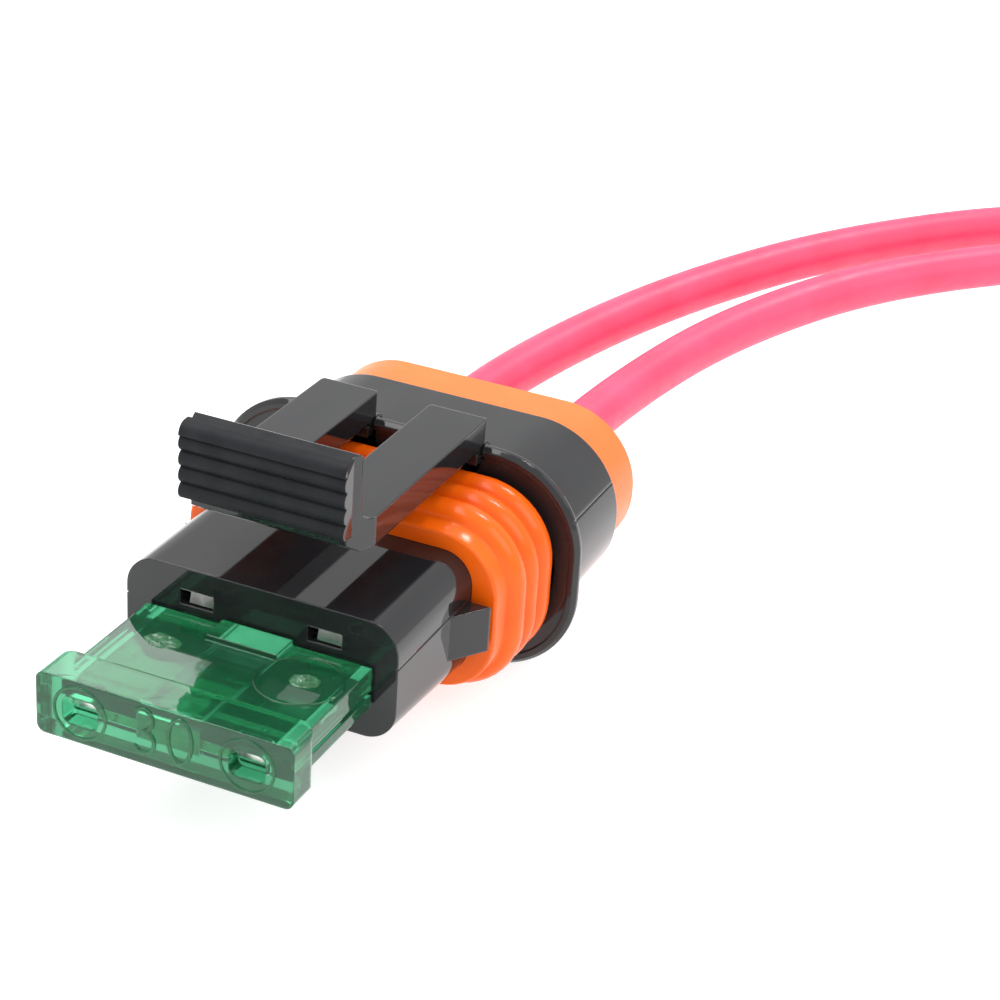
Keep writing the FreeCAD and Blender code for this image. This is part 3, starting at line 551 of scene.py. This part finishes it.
DIGIT_Z, DIGIT_STROKE = 9.1, 0.16
THREE_X, THREE_RISE, THREE_STEPS = -1.42, 0.82, 16
THREE_TOP, THREE_FOOT = (0.72, 0.8), (0.82, 0.84)
ZERO_X, ZERO_SIZE = 1.3, (0.86, 1.62)
TEST_RING_X, TEST_RING_SIZE, TEST_RING_STROKE = 6.2, (1.95, 1.9), 0.12
STAKE_Y = -28.5
STAKE_RING_X, STAKE_RING_RADIUS, STAKE_RING_STROKE, STAKE_RING_STEPS = 5.3, 3.0, 0.09, 40


def arc(middle_x, middle_z, width, height, first=0.0, last=360.0, steps=28):
    """Points on a part of an ellipse, as pairs of flat coordinates; width and height are its half-axes."""
    turns = [math.radians(first + (last - first) * step / steps) for step in range(steps + 1)]
    return [(middle_x + width * math.cos(turn), middle_z + height * math.sin(turn)) for turn in turns]


def ring(middle_x, middle_z, size, steps=28):
    """Points of a whole ellipse, without the first one again at the end."""
    return arc(middle_x, middle_z, *size, steps=steps)[:-1]


def on_head(points):
    """Pairs (x, z) laid on the front of the fuse's head."""
    return [(x, HEAD_FRONT_Y, z) for x, z in points]


three = (arc(THREE_X, DIGIT_Z + THREE_RISE, *THREE_TOP, first=150, last=-90, steps=THREE_STEPS)
         + arc(THREE_X, DIGIT_Z - THREE_RISE, *THREE_FOOT, first=90, last=-150, steps=THREE_STEPS))
zero = ring(ZERO_X, DIGIT_Z, ZERO_SIZE)
stroke("rating_three", [on_head(three)], DIGIT_STROKE, GREEN, "fuse")
stroke("rating_zero", [on_head(zero)], DIGIT_STROKE, GREEN, "fuse", closed=True)
for side, name in ((-1, "left"), (1, "right")):
    test_ring = ring(TEST_RING_X * side, AXIS_Z, TEST_RING_SIZE)
    stroke(f"test_ring_{name}", [on_head(test_ring)], TEST_RING_STROKE, GREEN, "fuse", closed=True)

stake_circle = ring(0, 0, (STAKE_RING_RADIUS, STAKE_RING_RADIUS), STAKE_RING_STEPS)
stake_ring = [(STAKE_RING_X + x, STAKE_Y + y, FUSE_TOP_Z) for x, y in stake_circle]
stroke("stake_ring", [stake_ring], STAKE_RING_STROKE, GREEN, "fuse", closed=True)


LUMP_RINGS, LUMP_SPOKES = 5, 18
LUMP_HALF_DEPTH, LUMP_HEIGHT, LUMP_SUNK = 0.95, 0.3, 0.05
# The crumples: how far the noise runs from ring to ring and spoke to spoke, and how much it shifts.
RING_NOISE_STEP, SPOKE_NOISE_STEP = 0.9, 0.7
REACH_JITTER, RISE_LEVEL, RISE_JITTER = 0.16, 0.75, 0.9


def lump(name, middle_x, middle_y, half_width):
    """A small crumpled dome of staked plastic on the fuse's flat top."""
    mesh = bmesh.new()
    centre = mesh.verts.new(millimetres(middle_x, middle_y, FUSE_TOP_Z + LUMP_HEIGHT))
    rows = []
    for number in range(1, LUMP_RINGS + 1):
        part = number / LUMP_RINGS
        sunk = LUMP_SUNK if number == LUMP_RINGS else 0.0
        row = []
        for spoke in range(LUMP_SPOKES):
            turn = 2 * math.pi * spoke / LUMP_SPOKES
            source = Vector((middle_x + number * RING_NOISE_STEP, spoke * SPOKE_NOISE_STEP, middle_y))
            jitter = noise.noise(source)
            reach = part * (1 + REACH_JITTER * jitter)
            rise = LUMP_HEIGHT * (1 - part * part) * (RISE_LEVEL + RISE_JITTER * jitter) - sunk
            row.append(mesh.verts.new(millimetres(middle_x + half_width * reach * math.cos(turn),
                                                  middle_y + LUMP_HALF_DEPTH * reach * math.sin(turn),
                                                  FUSE_TOP_Z + rise)))
        rows.append(row)
    for spoke in range(LUMP_SPOKES):
        after = (spoke + 1) % LUMP_SPOKES
        mesh.faces.new((centre, rows[0][spoke], rows[0][after]))
        for inner, outer in zip(rows, rows[1:]):
            mesh.faces.new((inner[spoke], outer[spoke], outer[after], inner[after]))
    mesh.faces.new(list(reversed(rows[-1])))
    obj = add_mesh(name, mesh)
    obj.data.materials.append(FROSTED)
    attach(obj, "fuse")


lump("stake_left", middle_x=-5.1, middle_y=STAKE_Y - 0.1, half_width=1.45)
lump("stake_right", middle_x=5.6, middle_y=STAKE_Y + 0.15, half_width=1.15)


# Leads

def lead(name, node, route):
    """One free lead on a smooth line guided by the route's points."""
    data = round_curve(name, LEAD_RADIUS, LEAD_FACETS, PINK_RED)
    spline = add_spline(data, "NURBS", route)
    spline.order_u = LEAD_ORDER
    spline.use_endpoint_u = True
    spline.resolution_u = LEAD_RESOLUTION
    obj = add_object(name, data)
    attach(obj, "holder")
    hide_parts(node)
    return obj


left_lead = lead("lead_left_cover", "lead_left", LEFT_ROUTE)
right_lead = lead("lead_right_cover", "lead_right", RIGHT_ROUTE)


# Twisted strands on the bare ends

STRIPPED_LENGTH, STRAND_STEPS = 8.0, 8
STRANDS, STRAND_CIRCLE, STRAND_RADIUS = 12, 1.0, 0.24
TWIST = 0.35
UP = Vector((0.0, 0.0, 1.0))


def strands(name, route):
    """Fine wires wound by part of a turn round the stripped end of a lead."""
    before, end = Vector(route[-2]), Vector(route[-1])
    along = (end - before).normalized()
    aside = along.cross(UP)
    pace = STRIPPED_LENGTH / STRAND_STEPS
    lines = []
    for number in range(STRANDS):
        line = []
        for step in range(STRAND_STEPS + 1):
            turn = 2 * math.pi * (number / STRANDS + step / STRAND_STEPS * TWIST)
            out = aside * math.cos(turn) + UP * math.sin(turn)
            line.append(end + along * (step * pace) + out * STRAND_CIRCLE)
        lines.append(line)
    stroke(name, lines, STRAND_RADIUS, COPPER, "holder")


strands("strands_left", LEFT_ROUTE)
strands("strands_right", RIGHT_ROUTE)


# Camera, at the photograph's place, with its axes

CAMERA_PLACE = (68.617, -149.815, 94.265)
CAMERA_RIGHT = (0.9098, 0.4101, 0.0638)
CAMERA_UP = (-0.2388, 0.3916, 0.8886)
CAMERA_BACK = (0.3394, -0.8237, 0.4542)
LENS, SENSOR = 87.198, 36.0

camera = add_object("camera", bpy.data.cameras.new("camera"))
facing = Matrix((CAMERA_RIGHT, CAMERA_UP, CAMERA_BACK)).transposed().to_quaternion()
camera.matrix_world = Matrix.LocRotScale(millimetres(*CAMERA_PLACE), facing, None)
camera.data.lens = LENS
camera.data.sensor_width = SENSOR
camera.data.clip_start = 0.005
camera.data.clip_end = 20.0
bpy.context.scene.camera = camera


# Floor and light; the floor's reach in metres, what the lights are aimed at in millimetres

FLOOR_REACH = 3.0
WHITE = (1.0, 1.0, 1.0, 1.0)
HOLDER_MIDDLE = (0, -10, 8)
FUSE_MIDDLE = (-4, -32, FUSE_TOP_Z)

floor_mesh = bpy.data.meshes.new("floor")
floor_corners = [(x * FLOOR_REACH, y * FLOOR_REACH, 0) for x, y in ((-1, -1), (1, -1), (1, 1), (-1, 1))]
floor_mesh.from_pydata(floor_corners, [], [(0, 1, 2, 3)])
floor = add_object("floor", floor_mesh)
paper = Nodes("paper").set(Roughness=0.9, Emission_Color=WHITE, Emission_Strength=0.72)
paper.mottle(paper.noise(3.0), dark=(0.50, 0.50, 0.50), light=(0.53, 0.53, 0.53))
floor_mesh.materials.append(paper.material)

world = bpy.data.worlds.new("studio")
world.use_nodes = True
sky = world.node_tree.nodes["Background"].inputs
sky["Color"].default_value = WHITE
sky["Strength"].default_value = 1.0
bpy.context.scene.world = world


def soft_light(name, place, aim, width, height, power):
    """A rectangular soft box; its place and aim in millimetres, its sides in metres and power in watts."""
    data = bpy.data.lights.new(name, "AREA")
    data.shape = "RECTANGLE"
    data.size = width
    data.size_y = height
    data.energy = power
    obj = add_object(name, data)
    obj.location = millimetres(*place)
    obj.rotation_mode = "QUATERNION"
    obj.rotation_quaternion = millimetres(*[p - a for p, a in zip(place, aim)]).to_track_quat("Z", "Y")


soft_light("key", (-200, -40, 420), HOLDER_MIDDLE, width=0.4, height=0.3, power=1.4)
soft_light("fill", (330, -60, 300), HOLDER_MIDDLE, width=0.3, height=0.3, power=0.6)
soft_light("gleam", (-120, 147, 138), FUSE_MIDDLE, width=0.026, height=0.02, power=0.0035)
soft_light("rim", (76, 216, 352), HOLDER_MIDDLE, width=0.075, height=0.075, power=0.5)

bpy.context.scene.view_settings.view_transform = "Standard"
